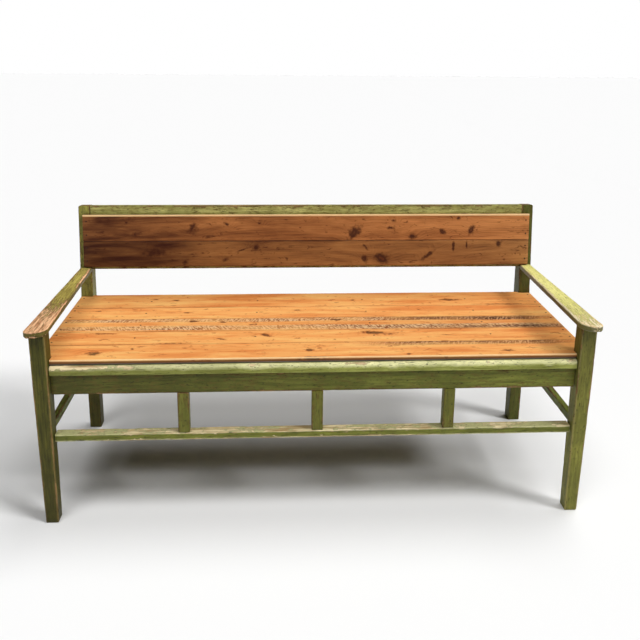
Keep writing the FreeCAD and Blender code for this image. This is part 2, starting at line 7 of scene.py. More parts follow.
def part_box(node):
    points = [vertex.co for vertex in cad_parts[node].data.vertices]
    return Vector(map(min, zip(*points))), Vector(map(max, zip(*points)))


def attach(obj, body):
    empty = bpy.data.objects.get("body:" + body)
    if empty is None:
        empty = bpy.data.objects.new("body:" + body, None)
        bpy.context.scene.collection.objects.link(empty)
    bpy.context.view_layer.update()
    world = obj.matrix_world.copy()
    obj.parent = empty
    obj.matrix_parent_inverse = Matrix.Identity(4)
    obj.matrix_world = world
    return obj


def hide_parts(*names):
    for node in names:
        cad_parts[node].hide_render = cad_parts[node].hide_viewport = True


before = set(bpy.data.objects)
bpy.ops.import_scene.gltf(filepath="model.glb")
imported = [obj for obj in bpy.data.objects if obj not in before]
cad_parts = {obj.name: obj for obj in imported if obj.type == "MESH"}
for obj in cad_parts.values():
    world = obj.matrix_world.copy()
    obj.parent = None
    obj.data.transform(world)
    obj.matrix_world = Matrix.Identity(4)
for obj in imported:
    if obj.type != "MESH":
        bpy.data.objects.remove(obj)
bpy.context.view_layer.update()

# Camera. It stands a little left of the bench's middle and above its arms, with a
# normal lens, and its frame is shifted down because the bench fills the lower part
# of the picture.
image_side = 640
focal_length_px = 711.0
centre_x_px, centre_y_px = 310.7, 213.6
camera_place = Vector((-0.1293, -2.2284, 1.4338))
turned_right, tilted_down, rolled = math.radians(3.05), math.radians(13.54), math.radians(0.56)


def placed(name, data):
    """A new object in the scene."""
    made = bpy.data.objects.new(name, data)
    bpy.context.scene.collection.objects.link(made)
    return made


ahead = Vector((math.sin(turned_right) * math.cos(tilted_down),
                math.cos(turned_right) * math.cos(tilted_down), -math.sin(tilted_down)))
level = Vector((math.cos(turned_right), -math.sin(turned_right), 0))
risen = level.cross(ahead)
right = level * math.cos(rolled) + risen * math.sin(rolled)
up = risen * math.cos(rolled) - level * math.sin(rolled)
camera = placed("camera", bpy.data.cameras.new("camera"))
camera_turn = Matrix((right, up, -ahead)).transposed().to_4x4()
camera.matrix_world = Matrix.Translation(camera_place) @ camera_turn
camera.data.sensor_width = 36
camera.data.lens = focal_length_px / image_side * camera.data.sensor_width
camera.data.shift_x = (image_side / 2 - centre_x_px) / image_side
camera.data.shift_y = (centre_y_px - image_side / 2) / image_side
bpy.context.scene.camera = camera
bpy.context.scene.view_settings.view_transform = "Standard"

# Front legs. Square pine, planed, tapered below the apron and painted green. The
# paint has gone from their arrises and feet, so each piece carries a "wear" value
# that is high along its edges.
leg_arris, foot_arris = 0.0028, 0.004
leg_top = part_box("right_arm")[0].z
taper_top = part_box("apron")[0].z


def linear(hex_colour):
    """An sRGB hex colour as the linear colour that a socket holds."""
    parts = [int(hex_colour[i:i + 2], 16) / 255 for i in (1, 3, 5)]
    return [p / 12.92 if p <= 0.04045 else ((p + 0.055) / 1.055) ** 2.4 for p in parts] + [1.0]


def add(tree, kind, inputs=None, stops=None, **settings):
    """Adds a node with its settings; each input is a value or a socket to link from."""
    node = tree.nodes.new(kind)
    for key, value in settings.items():
        setattr(node, key, value)
    for key, value in (inputs or {}).items():
        if isinstance(value, bpy.types.NodeSocket):
            tree.links.new(value, node.inputs[key])
        else:
            node.inputs[key].default_value = value
    for i, (place, colour) in enumerate(stops or ()):
        element = node.color_ramp.elements[i] if i < 2 else node.color_ramp.elements.new(place)
        element.position, element.color = place, colour
    return node


def blank_finish(name):
    """A new material and its node tree, emptied."""
    material = bpy.data.materials.new(name)
    material.use_nodes = True
    material.node_tree.nodes.clear()
    return material, material.node_tree


def green_paint(name, grain, fresh, shade, wear, shift, bare=("#5c4426", "#9a7c50"), fade=(),
                pale=None, painted_shade=None, drawn_out=2.8):
    """Oil paint on pine, brushed along the grain (0, 1 or 2): semi-matt and streaky,
    rubbed to a brown undercoat, chipped to bare wood, with dirt in the pits. fade lists
    an axis, two places along it and how much more is worn at the first of them; pale
    is the colour that rubbing leaves on edges, and on the moulded rail's crown also a
    painted highlight; painted_shade is an axis, two places and how dark the first of
    them is made with painted shade; drawn_out is how many times longer than wide a chip is."""
    material, tree = blank_finish(name)
    coords = add(tree, "ShaderNodeTexCoord").outputs["Object"]
    place = add(tree, "ShaderNodeSeparateXYZ", {"Vector": coords})
    moved = add(tree, "ShaderNodeMapping", {"Vector": coords,
            "Location": (shift, shift * 0.7, shift * 0.3)})
    stretched, flakes = [
        add(tree, "ShaderNodeMapping", {"Vector": moved.outputs[0],
            "Scale": [1.0 if axis == grain else narrowed for axis in range(3)]})
        for narrowed in (15.0, drawn_out)]
    # Brush marks 6 mm wide and a hand long, patches of wear a hand wide, chips 25 mm
    # long, pits 11 mm long and cracks 2 mm wide, all longer along the grain.
    streaks, patches, chips, pits, cracks = [
        add(tree, "ShaderNodeTexNoise", {"Vector": over.outputs[0], "Scale": scale,
            "Detail": detail, "Roughness": rough, "Distortion": twist}).outputs["Fac"]
        for over, scale, detail, rough, twist in (
            (stretched, 11.0, 5.0, 0.6, 0.0), (moved, 7.0, 5.0, 0.62, 0.0),
            (flakes, 40.0, 8.0, 0.68, 0.5), (flakes, 90.0, 3.0, 0.6, 0.0),
            (stretched, 31.0, 3.0, 0.5, 0.0))]
    body = add(tree, "ShaderNodeValToRGB", {"Fac": streaks},
            stops=((0.32, linear(shade)), (0.68, linear(fresh))))
    mottle = add(tree, "ShaderNodeMapRange", {"Value": patches, "From Min": 0.42, "From Max": 0.66,
            "To Min": 0.0, "To Max": 0.75})
    colour = add(tree, "ShaderNodeMix", {0: mottle.outputs[0], 6: body.outputs[0], 7: linear(shade)},
            data_type="RGBA").outputs[2]
    worn = add(tree, "ShaderNodeAttribute", attribute_name="wear").outputs["Fac"]
    if pale:
        lift = add(tree, "ShaderNodeMath", {0: chips, 1: 0.9, 2: worn}, operation="MULTIPLY_ADD")
        handled = add(tree, "ShaderNodeMapRange", {"Value": lift.outputs[0], "From Min": 0.72,
                "From Max": 1.3, "To Min": 0.0, "To Max": 0.95})
        here = add(tree, "ShaderNodeMapRange", {"Value": patches, "From Min": 0.40,
                "From Max": 0.56, "To Min": 1.0, "To Max": 0.6})
        polished = add(tree, "ShaderNodeMath", {0: handled.outputs[0], 1: here.outputs[0]},
                operation="MULTIPLY")
        colour = add(tree, "ShaderNodeMix", {0: polished.outputs[0], 6: colour, 7: linear(pale)},
                data_type="RGBA").outputs[2]
    # Painted shade: the colour darkens towards #302a0c between two places along an axis.
    if painted_shade:
        axis, near, far, most = painted_shade
        darkened = add(tree, "ShaderNodeMapRange", {"Value": place.outputs[axis], "From Min": near,
                "From Max": far, "To Min": most, "To Max": 0.0})
        colour = add(tree, "ShaderNodeMix", {0: darkened.outputs[0], 6: colour, 7: linear("#302a0c")},
                data_type="RGBA").outputs[2]
    uneven = add(tree, "ShaderNodeMapRange", {"Value": patches, "From Min": 0.38, "From Max": 0.60,
            "To Min": 0.44, "To Max": 0.06})
    reach = add(tree, "ShaderNodeMath", {0: worn, 1: uneven.outputs[0], 2: chips},
            operation="MULTIPLY_ADD").outputs[0]
    for axis, near, far, extra in fade:
        more = add(tree, "ShaderNodeMapRange", {"Value": place.outputs[axis], "From Min": near,
                "From Max": far, "To Min": extra, "To Max": 0.0})
        reach = add(tree, "ShaderNodeMath", {0: reach, 1: more.outputs[0]}, operation="ADD").outputs[0]
    # How far the paint is rubbed thin, dark at a chip's rim, lost and dull, and how much
    # the pits and cracks show.
    thin, rim, lost, dull, dirt, line = [
        add(tree, "ShaderNodeMapRange", {"Value": value, "From Min": start, "From Max": end,
            "To Min": least, "To Max": most}).outputs[0]
        for value, start, end, least, most in (
            (reach, 0.50 - wear, 0.66 - wear, 0.0, 0.15 if pale else 0.5),
            (reach, 0.64 - wear, 0.69 - wear, 0.0, 0.35 if pale else 0.75),
            (reach, 0.70 - wear, 0.75 - wear, 0.0, 1.0), (reach, 0.6 - wear, 0.74 - wear, 0.48, 0.8),
            (pits, 0.60, 0.70, 0.0, 0.8), (cracks, 0.63, 0.70, 0.0, 0.8))]
    wood = add(tree, "ShaderNodeValToRGB", {"Fac": streaks},
            stops=((0.38, linear(bare[0])), (0.6, linear(bare[1])))).outputs[0]
    for cover, over in ((thin, linear("#6a5428")), (dirt, linear("#2e2b14")),
                        (line, linear("#2c2913")), (rim, linear("#4b3a1d")), (lost, wood)):
        colour = add(tree, "ShaderNodeMix", {0: cover, 6: colour, 7: over},
                data_type="RGBA").outputs[2]
    height = streaks
    for cover, sunk in ((lost, -0.7), (line, -0.7), (dirt, -0.4)):
        height = add(tree, "ShaderNodeMath", {0: cover, 1: sunk, 2: height},
                operation="MULTIPLY_ADD").outputs[0]
    relief = add(tree, "ShaderNodeBump", {"Height": height, "Strength": 0.6, "Distance": 0.0014})
    shader = add(tree, "ShaderNodeBsdfPrincipled", {"Base Color": colour, "Roughness": dull,
            "Normal": relief.outputs[0], "Specular IOR Level": 0.18})
    add(tree, "ShaderNodeOutputMaterial", {"Surface": shader.outputs[0]})
    return material


arris_worn, beside_arris, off_arris = 0.85, (0.004, 0.4), (0.010, 0.1)   # how far and how worn


def sawn_section(limits, arris, place, inset, knocks):
    """One closed section of a timber: four softened corners and points between them,
    each with how worn it is."""
    u0, u1, v0, v1 = limits
    u0, u1, v0, v1 = u0 + inset, u1 - inset, v0 + inset, v1 - inset
    points = []
    corners = ((u1, v0, -90), (u1, v1, 0), (u0, v1, 90), (u0, v0, 180))
    for i, (u, v, start) in enumerate(corners):
        knock = max(0.0, noise.noise(Vector((place * 31, i * 5.3 + u * 9, v * 9))) - 0.28) * knocks
        radius = arris * (1 + 0.3 * noise.noise(Vector((place * 11, i * 3.1, u * 7))) + 2.4 * knock)
        radius = min(radius, (u1 - u0) * 0.45, (v1 - v0) * 0.45)
        centre_u = u - math.copysign(radius, u - (u0 + u1) / 2)
        centre_v = v - math.copysign(radius, v - (v0 + v1) / 2)
        for step in range(4):
            angle = math.radians(start + 30 * step)
            points.append((centre_u + radius * math.cos(angle), centre_v + radius * math.sin(angle),
                           arris_worn + 1.2 * knock))
        next_u, next_v, _ = corners[(i + 1) % 4]
        side = math.hypot(next_u - u, next_v - v)
        near, far = min(beside_arris[0], side * 0.25), min(off_arris[0], side * 0.4)
        for reach, worn in ((near, beside_arris[1]), (far, off_arris[1]), (side * 0.5, 0.0),
                            (side - far, off_arris[1]), (side - near, beside_arris[1])):
            share = reach / side
            points.append((u + (next_u - u) * share, v + (next_v - v) * share, worn))
    return points


sharp_from = math.radians(42)


def lofted(name, axis, rings, material):
    """Skins a row of closed sections, each a place along the grain and its points."""
    built = bmesh.new()
    wear = built.verts.layers.float.new("wear")
    rows = []
    for place, points in rings:
        row = []
        for u, v, worn in points:
            at = [u, v]
            at.insert(axis, place)
            vertex = built.verts.new(at)
            vertex[wear] = worn
            row.append(vertex)
        rows.append(row)
    for low, high in zip(rows, rows[1:]):
        for i in range(len(low)):
            built.faces.new((low[i - 1], low[i], high[i], high[i - 1]))
    built.faces.new(rows[0])
    built.faces.new(rows[-1])
    bmesh.ops.recalc_face_normals(built, faces=built.faces)
    for face in built.faces:
        face.smooth = True
    mesh = bpy.data.meshes.new(name)
    built.to_mesh(mesh)
    mesh.set_sharp_from_angle(angle=sharp_from)
    mesh.materials.append(material)
    return placed(name, mesh)


end_worn = 0.6               # added where the end's arris begins


def sawn(name, axis, start, end, limits, material, arris=0.002, end_arris=0.0015, step=0.011,
         bow=0.0002, knocks=1.0, breaks=()):
    """A length of timber along one axis; limits(place) gives its section's four sides."""
    count = max(4, round((end - start) / step))
    inner = [start + end_arris + (end - start - 2 * end_arris) * i / count for i in range(count + 1)]
    ends = [start, start + end_arris * 0.3, end - end_arris * 0.3, end]
    rings = []
    for place in sorted(inner + ends + list(breaks)):
        near = min(place - start, end - place)
        inset = 0.0
        if near < end_arris:
            inset = end_arris - math.sqrt(max(0.0, end_arris ** 2 - (end_arris - near) ** 2))
        points = []
        for u, v, worn in sawn_section(limits(place), arris, place, inset, knocks):
            dip = bow * (0.5 + 0.5 * noise.noise(Vector((place * 6, u * 14, v * 14))))
            u0, u1, v0, v1 = limits(place)
            points.append((u - math.copysign(dip, u - (u0 + u1) / 2),
                    v - math.copysign(dip, v - (v0 + v1) / 2), worn + (end_worn if inset else 0.0)))
        rings.append((place, points))
    return lofted(name, axis, rings, material)


(leg_inner, leg_front, _), (leg_outer, leg_back, _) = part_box("right_front_leg")
foot_size, foot_inset = Vector((0.039, 0.039)), Vector((0.003, 0.002))


def front_leg(sign, name, material):
    def limits(z):
        share = min(1.0, z / taper_top)
        inner = leg_inner + foot_inset.x * (1 - share)
        outer = (leg_inner + foot_inset.x + foot_size.x) * (1 - share) + leg_outer * share
        front = leg_front + foot_inset.y * (1 - share)
        back = (leg_front + foot_inset.y + foot_size.y) * (1 - share) + leg_back * share
        return (inner, outer, front, back) if sign > 0 else (-outer, -inner, front, back)
    leg = sawn(name, 2, 0.0, leg_top, limits, material, leg_arris, foot_arris, knocks=1.4,
            breaks=(taper_top,))
    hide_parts(name.replace("_worn", ""))
    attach(leg, "bench_frame")


# Lighter and darker copies of one paint: the left leg's darker colours and the right leg's lighter ones
# are painted shade and painted light, as if lit from the right. The right leg is also darkened at its
# top with painted shade, the arm's shadow; the left leg is darker towards the bottom.
front_leg(-1, "left_front_leg_worn",
          green_paint("Old green oil paint, left leg", 2, "#646122", "#3a390f", -0.03, 3.1,
                      pale="#98834c", painted_shade=(2, 0.0, 0.40, 0.45)))
front_leg(1, "right_front_leg_worn",
          green_paint("Old green oil paint, right leg", 2, "#9a9844", "#67662a", -0.03, 5.7,
                      pale="#b0a266", painted_shade=(2, 0.62, 0.25, 0.5)))

# Rear posts. Straight below the seat and leaning above it, sawn to shape from one
# piece each, planed and painted like the legs.
post_arris, post_top_arris, post_corner = 0.002, 0.0015, 0.006
squared_from = 0.08          # below the top, where the section starts to turn square to the lean
(post_inner, rear_y, _), (post_outer, _, back_top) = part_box("right_rear_post")
seat_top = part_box("seat_board_5")[1].z
post_corners = [v.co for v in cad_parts["right_rear_post"].data.vertices]


def edge_of(height, pick):
    """The post's front or back face at the corners that lie near a height."""
    return pick(c.y for c in post_corners if abs(c.z - height) < 0.004)


post_front_top, post_back_top = edge_of(back_top, min), max(c.y for c in post_corners)
post_back_foot, post_back_seat = edge_of(0.0, max), edge_of(seat_top, max)
lean = math.atan2(post_front_top - rear_y, back_top - seat_top)


def rear_post(sign, name, material):
    def limits(z):
        if z < seat_top:
            front, back = rear_y, post_back_foot + (post_back_seat - post_back_foot) * z / seat_top
        else:
            share = (z - seat_top) / (back_top - seat_top)
            front = rear_y + (post_front_top - rear_y) * share
            back = post_back_seat + (post_back_top - post_back_seat) * share
        outer = post_outer
        near_top = min(post_corner, max(0.0, post_corner - back_top + z))
        outer -= post_corner - math.sqrt(post_corner ** 2 - near_top ** 2)
        return (post_inner, outer, front, back) if sign > 0 else (-outer, -post_inner, front, back)
    turns = [math.radians(a) for a in range(30, 91, 15)]
    corner_places = [back_top - post_corner * (1 - math.cos(turn)) for turn in turns]
    post = sawn(name, 2, 0.0, back_top, limits, material, post_arris, post_top_arris,
                breaks=[seat_top] + corner_places)
    for vertex in post.data.vertices:
        turned = max(0.0, (vertex.co.z - back_top + squared_from) / squared_from)
        vertex.co.z -= (vertex.co.y - post_front_top) * math.tan(lean) * turned
    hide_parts(name.replace("_worn", ""))
    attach(post, "bench_frame")


# Lighter and darker copies of one paint: the right post's darker colours are painted shade. The left
# post is darkened below the seat with painted shade.
rear_post(-1, "left_rear_post_worn",
          green_paint("Old green oil paint, left post", 2, "#b2ae52", "#74723a", 0.0, 7.3,
                      painted_shade=(2, 0.25, 0.50, 0.7)))
rear_post(1, "right_rear_post_worn",
          green_paint("Old green oil paint, right post", 2, "#70732e", "#484b1a", 0.0, 9.9))

# Side rails and side stretchers, tenoned between each leg and post. The rails lie
# under the seat's ends and the thin stretchers near the floor.
let_in = 0.004               # how far their front ends run into the legs
side_paint = green_paint("Old green oil paint, side rails", 1, "#97a349", "#5c662a", 0.02, 1.7)
for side in ("left", "right"):
    for part, arris in (("side_rail", 0.0015), ("side_stretcher", 0.0022)):
        low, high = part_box("%s_%s" % (side, part))
        bar = sawn("%s_%s_worn" % (side, part), 1, leg_back - let_in, rear_y,
                   lambda y: (low.x, high.x, low.z, high.z), side_paint, arris)
        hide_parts("%s_%s" % (side, part))
        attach(bar, "bench_frame")

# Arm boards. Each lies on the leg's top and is tenoned into the post: wide and
# rounded at the front, narrower behind, with the paint rubbed off by hands.
arm_arris, arm_end_arris, inner_nose, outer_nose = 0.0045, 0.003, 0.038, 0.018
into_post = 0.014
arm_low, arm_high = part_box("right_arm")
arm_tips = [v.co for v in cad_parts["right_arm"].data.vertices]
arm_front_inner = min(c.x for c in arm_tips if c.y < arm_low.y + inner_nose + arm_arris)
arm_rear_inner, arm_rear_outer = post_inner, post_outer - 0.001


def arm(sign, name, material):
    length = rear_y - arm_low.y

    def limits(y):
        share = (y - arm_low.y) / length
        outer = arm_high.x + (arm_rear_outer - arm_high.x) * share
        inner = arm_front_inner + (arm_rear_inner - arm_front_inner) * share
        depth = y - arm_low.y
        outer -= outer_nose - math.sqrt(outer_nose ** 2 - max(0.0, outer_nose - depth) ** 2)
        inner += inner_nose - math.sqrt(inner_nose ** 2 - max(0.0, inner_nose - depth) ** 2)
        low = arm_low.z
        return (inner, outer, low, arm_high.z) if sign > 0 else (-outer, -inner, low, arm_high.z)
    turns = [math.radians(a) for a in range(8, 90, 6)]
    curl_places = [arm_low.y + inner_nose * (1 - math.cos(turn)) for turn in turns]
    board = sawn(name, 1, arm_low.y, rear_y + into_post, limits, material, arm_arris, arm_end_arris,
            knocks=1.2, breaks=curl_places)
    for vertex in board.data.vertices:
        vertex.co.y = min(vertex.co.y, rear_y + (vertex.co.z - seat_top) * math.tan(lean))
    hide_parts(name.replace("_worn", ""))
    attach(board, "bench_frame")


# The paint stays on the arms' sides up to the arris, and below it the sides are darkened with painted
# shade.
side_kept = (2, arm_high.z - arm_arris, arm_high.z - 0.001, -0.4)
arm(-1, "left_arm_worn",
    green_paint("Rubbed green oil paint, left arm", 1, "#dccb6a", "#9c8c46", 0.05, 2.9,
                ("#b07c54", "#f6c496"), ((1, -0.26, -0.02, 0.25), side_kept),
                painted_shade=(2, arm_high.z - arm_arris, arm_high.z, 0.75), drawn_out=9.0))
arm(1, "right_arm_worn",
    green_paint("Rubbed green oil paint, right arm", 1, "#fdf6a2", "#d8d27a", 0.02, 6.1,
                ("#e6c890", "#fff6d8"), ((1, -0.33, -0.08, 0.23), side_kept), pale="#fff8c0",
                painted_shade=(2, arm_high.z - arm_arris, arm_high.z - 0.001, 0.8), drawn_out=7.0))

# Seat boards. Five planed pine boards, waxed to a deep amber and nailed to the side
# rails and battens. The front one is notched round the legs and the last one round
# the posts. The middle one is torn by bad planing along its edges, the front one less.
board_arris, board_end_arris, board_joint, notch_fit = 0.0012, 0.0012, 0.0006, 0.001
notch_edge, post_notch_edge = leg_inner - notch_fit, post_inner - notch_fit
saw_cut = 0.00005            # half the width of the step at a notch


def grey(level):
    """A plain grey, for a colour ramp that is used as a curve."""
    return (level,) * 3 + (1.0,)


def waxed_pine(name, across, colours, shift, knots=(), torn=(), joint=0.6, streaky=1.0, stain_and_shade=(),
               pale_arris_and_shade=None, unwaxed_below=None, turned=False, knot_depth=0.9):
    """Old pine under wax: amber early wood, redder late-wood lines and resin streaks
    along X, ringed knots, satin where it was polished. across is the axis over the
    board's width; a knot is its place, half lengths and turn, and how strong it is;
    stain_and_shade is how dark the board is at places along X, with stains on some
    boards and painted shade on others; pale_arris_and_shade is the place in Y and Z of
    an arris that is drawn pale, partly as rubbed wear and partly as a painted highlight,
    how wide, and how brown the face below it is made with painted shade; turned is for
    timber that runs along Y; knot_depth is how far a knot hides the wood."""
    material, tree = blank_finish(name)
    light, middle, dark = [linear(c) for c in colours]
    coords = add(tree, "ShaderNodeTexCoord").outputs["Object"]
    if turned:
        coords = add(tree, "ShaderNodeMapping", {"Vector": coords,
                "Rotation": (0.0, 0.0, math.radians(90))}).outputs[0]
    place = add(tree, "ShaderNodeSeparateXYZ", {"Vector": coords})
    width = place.outputs[across]
    flat = add(tree, "ShaderNodeCombineXYZ", {"X": place.outputs[0], "Y": width})
    moved = add(tree, "ShaderNodeMapping", {"Vector": coords,
            "Location": (shift, shift * 0.13, shift * 0.2)})
    # Waves in the grain 0.6 m long, ragged rims of knots 17 mm, clouds 300 by 40 mm,
    # fibres 110 by 7 mm and resin flecks 33 by 13 mm.
    patterns = []
    for narrowed, scale, detail, rough, twist in (
            (3.0, 1.6, 3.0, 0.45, 0.0), (1.0, 60.0, 4.0, 0.6, 0.0), (7.0, 3.4, 6.0, 0.62, 0.4),
            (16.0, 9.0, 6.0, 0.65, 0.0), (2.6, 30.0, 4.0, 0.65, 0.8)):
        drawn = add(tree, "ShaderNodeMapping", {"Vector": moved.outputs[0],
                "Scale": (1.0, narrowed, narrowed)})
        patterns.append(add(tree, "ShaderNodeTexNoise", {"Vector": drawn.outputs[0],
                "Scale": scale, "Detail": detail, "Roughness": rough, "Distortion": twist}))
    bend, ripple, tone, fine, resin = [pattern.outputs["Fac"] for pattern in patterns]
    swirl = add(tree, "ShaderNodeMath", {0: bend, 1: 0.09, 2: width},
            operation="MULTIPLY_ADD").outputs[0]
    nearest = None
    for x, v, length, breadth, turn, strength in knots:
        local = add(tree, "ShaderNodeMapping", {"Vector": flat.outputs[0], "Location": (x, v, 0.0),
                "Rotation": (0.0, 0.0, math.radians(turn)), "Scale": (length, breadth, 1.0)},
                vector_type="TEXTURE")
        far = add(tree, "ShaderNodeVectorMath", {0: local.outputs[0]}, operation="LENGTH")
        push = add(tree, "ShaderNodeMapRange", {"Value": far.outputs["Value"], "From Min": 0.0,
                "From Max": 4.0, "To Min": 0.022, "To Max": 0.0}, interpolation_type="SMOOTHSTEP")
        swirl = add(tree, "ShaderNodeMath", {0: swirl, 1: push.outputs[0]}, operation="ADD").outputs[0]
        away = add(tree, "ShaderNodeMath", {0: far.outputs["Value"], 1: (1 - strength) * 1.3},
                operation="ADD").outputs[0]
        if nearest is not None:
            away = add(tree, "ShaderNodeMath", {0: nearest, 1: away}, operation="MINIMUM").outputs[0]
        nearest = away
    # Rings 9 mm apart: the real ones, at 2 to 3 mm, are too fine to show from here.
    phase = add(tree, "ShaderNodeMath", {0: swirl, 1: 1 / 0.009}, operation="MULTIPLY")
    ring = add(tree, "ShaderNodeMath", {0: phase.outputs[0]}, operation="FRACT")
    late = add(tree, "ShaderNodeValToRGB", {"Fac": ring.outputs[0]},
            stops=((0.0, grey(0.0)), (1.0, grey(0.0)), (0.62, grey(0.75)), (0.8, grey(1.0))))
    base = add(tree, "ShaderNodeValToRGB", {"Fac": tone}, stops=((0.36, middle), (0.64, light)))
    worn = add(tree, "ShaderNodeAttribute", attribute_name="wear").outputs["Fac"]
    # How strongly the fibres, the rings and the resin show, how far dirt fills the
    # joints, how much of an edge it covers, and how dull the wax is.
    streak, heavy, fleck, grimy, edge, dull = [
        add(tree, "ShaderNodeMapRange", {"Value": value, "From Min": start, "From Max": end,
            "To Min": least, "To Max": most}).outputs[0]
        for value, start, end, least, most in (
            (fine, 0.48, 0.68, 0.0, 0.8 * streaky), (tone, 0.50, 0.36, 0.12, 0.5 * streaky),
            (resin, 0.60, 0.67, 0.0, 0.75), (tone, 0.35, 0.6, joint, joint * 0.2),
            (worn, 0.35, 0.85, 0.0, 1.0), (fine, 0.3, 0.7, 0.42, 0.62))]
    ringed = add(tree, "ShaderNodeMath", {0: late.outputs[0], 1: heavy},
            operation="MULTIPLY").outputs[0]
    result, grit = base.outputs[0], fine
    for cover, over in ((streak, middle), (ringed, dark), (fleck, dark)):
        result = add(tree, "ShaderNodeMix", {0: cover, 6: result, 7: over},
                data_type="RGBA").outputs[2]
    for band in torn:
        result, grit = torn_band(tree, result, grit, place.outputs[0], width, bend, tone,
                                 flat.outputs[0], band)
    if nearest is not None:
        ragged = add(tree, "ShaderNodeMath", {0: ripple, 1: 2.6, 2: nearest},
                operation="MULTIPLY_ADD")
        knot = add(tree, "ShaderNodeMapRange", {"Value": ragged.outputs[0], "From Min": 1.1,
                "From Max": 2.9})
        rings = add(tree, "ShaderNodeValToRGB", {"Fac": knot.outputs[0]},
                stops=((0.10, linear("#6c3418")), (0.85, dark), (0.32, linear("#34160a")),
                (0.50, linear("#46200f")), (0.66, dark)))
        cover = add(tree, "ShaderNodeMapRange", {"Value": knot.outputs[0], "From Min": 0.55,
                "From Max": 0.95, "To Min": knot_depth, "To Max": 0.0})
        result = add(tree, "ShaderNodeMix", {0: cover.outputs[0], 6: result, 7: rings.outputs[0]},
                data_type="RGBA").outputs[2]
    # Darker towards #3a1507 at places along X: a stain on some boards, painted shade on others.
    if stain_and_shade:
        half_length = 0.84
        along = add(tree, "ShaderNodeMapRange", {"Value": place.outputs[0],
                "From Min": -half_length, "From Max": half_length})
        depth = add(tree, "ShaderNodeValToRGB", {"Fac": along.outputs[0]},
                stops=[((x + half_length) / (2 * half_length), grey(much)) for x, much in stain_and_shade])
        uneven = add(tree, "ShaderNodeMapRange", {"Value": tone, "From Min": 0.35,
                "From Max": 0.65, "To Min": 1.25, "To Max": 0.75})
        darkening_share = add(tree, "ShaderNodeMath", {0: depth.outputs[0], 1: uneven.outputs[0]},
                operation="MULTIPLY", use_clamp=True)
        result = add(tree, "ShaderNodeMix", {0: darkening_share.outputs[0], 6: result, 7: linear("#3a1507")},
                data_type="RGBA").outputs[2]
    grimed = add(tree, "ShaderNodeMath", {0: edge, 1: grimy}, operation="MULTIPLY").outputs[0]
    # Painted shade and highlight: the face below the arris is darkened towards #5a3717 with painted
    # shade, and the arris itself is drawn pale, #ffd9a0, partly as rubbed wear and partly as a painted
    # highlight.
    if pale_arris_and_shade:
        y, z, reach, brown = pale_arris_and_shade
        below = add(tree, "ShaderNodeMapRange", {"Value": place.outputs[2], "From Min": z - 0.007,
                "From Max": z - 0.003, "To Min": brown, "To Max": 0.0})
        result = add(tree, "ShaderNodeMix", {0: below.outputs[0], 6: result, 7: linear("#5a3717")},
                data_type="RGBA").outputs[2]
        section = add(tree, "ShaderNodeMapping", {"Vector": coords, "Location": (0.0, -y, -z),
                "Scale": (0.0, 1.0, 1.0)})
        away = add(tree, "ShaderNodeVectorMath", {0: section.outputs[0]}, operation="LENGTH")
        arris = add(tree, "ShaderNodeMapRange", {"Value": away.outputs["Value"],
                "From Min": reach * 0.6, "From Max": reach, "To Min": 0.9,
                "To Max": 0.0}).outputs[0]
        cleared = add(tree, "ShaderNodeMath", {0: arris, 1: -1.0, 2: 1.0}, operation="MULTIPLY_ADD")
        grimed = add(tree, "ShaderNodeMath", {0: grimed, 1: cleared.outputs[0]},
                operation="MULTIPLY").outputs[0]
        result = add(tree, "ShaderNodeMix", {0: arris, 6: result, 7: linear("#ffd9a0")},
                data_type="RGBA").outputs[2]
    result = add(tree, "ShaderNodeMix", {0: grimed, 6: result, 7: linear("#4a2612")},
            data_type="RGBA").outputs[2]
    if unwaxed_below is not None:
        dry = add(tree, "ShaderNodeMapRange", {"Value": place.outputs[2], "From Min": unwaxed_below,
                "From Max": unwaxed_below + 0.002, "To Min": 1.0, "To Max": 0.0})
        raw = add(tree, "ShaderNodeValToRGB", {"Fac": fine},
                stops=((0.35, linear("#4c4a46")), (0.65, linear("#7a7771"))))
        result = add(tree, "ShaderNodeMix", {0: dry.outputs[0], 6: result, 7: raw.outputs[0]},
                data_type="RGBA").outputs[2]
    relief = add(tree, "ShaderNodeBump", {"Height": grit, "Strength": 0.4, "Distance": 0.0009})
    shader = add(tree, "ShaderNodeBsdfPrincipled", {"Base Color": result, "Roughness": dull,
            "Normal": relief.outputs[0], "Specular IOR Level": 0.2})
    add(tree, "ShaderNodeOutputMaterial", {"Surface": shader.outputs[0]})
    return material


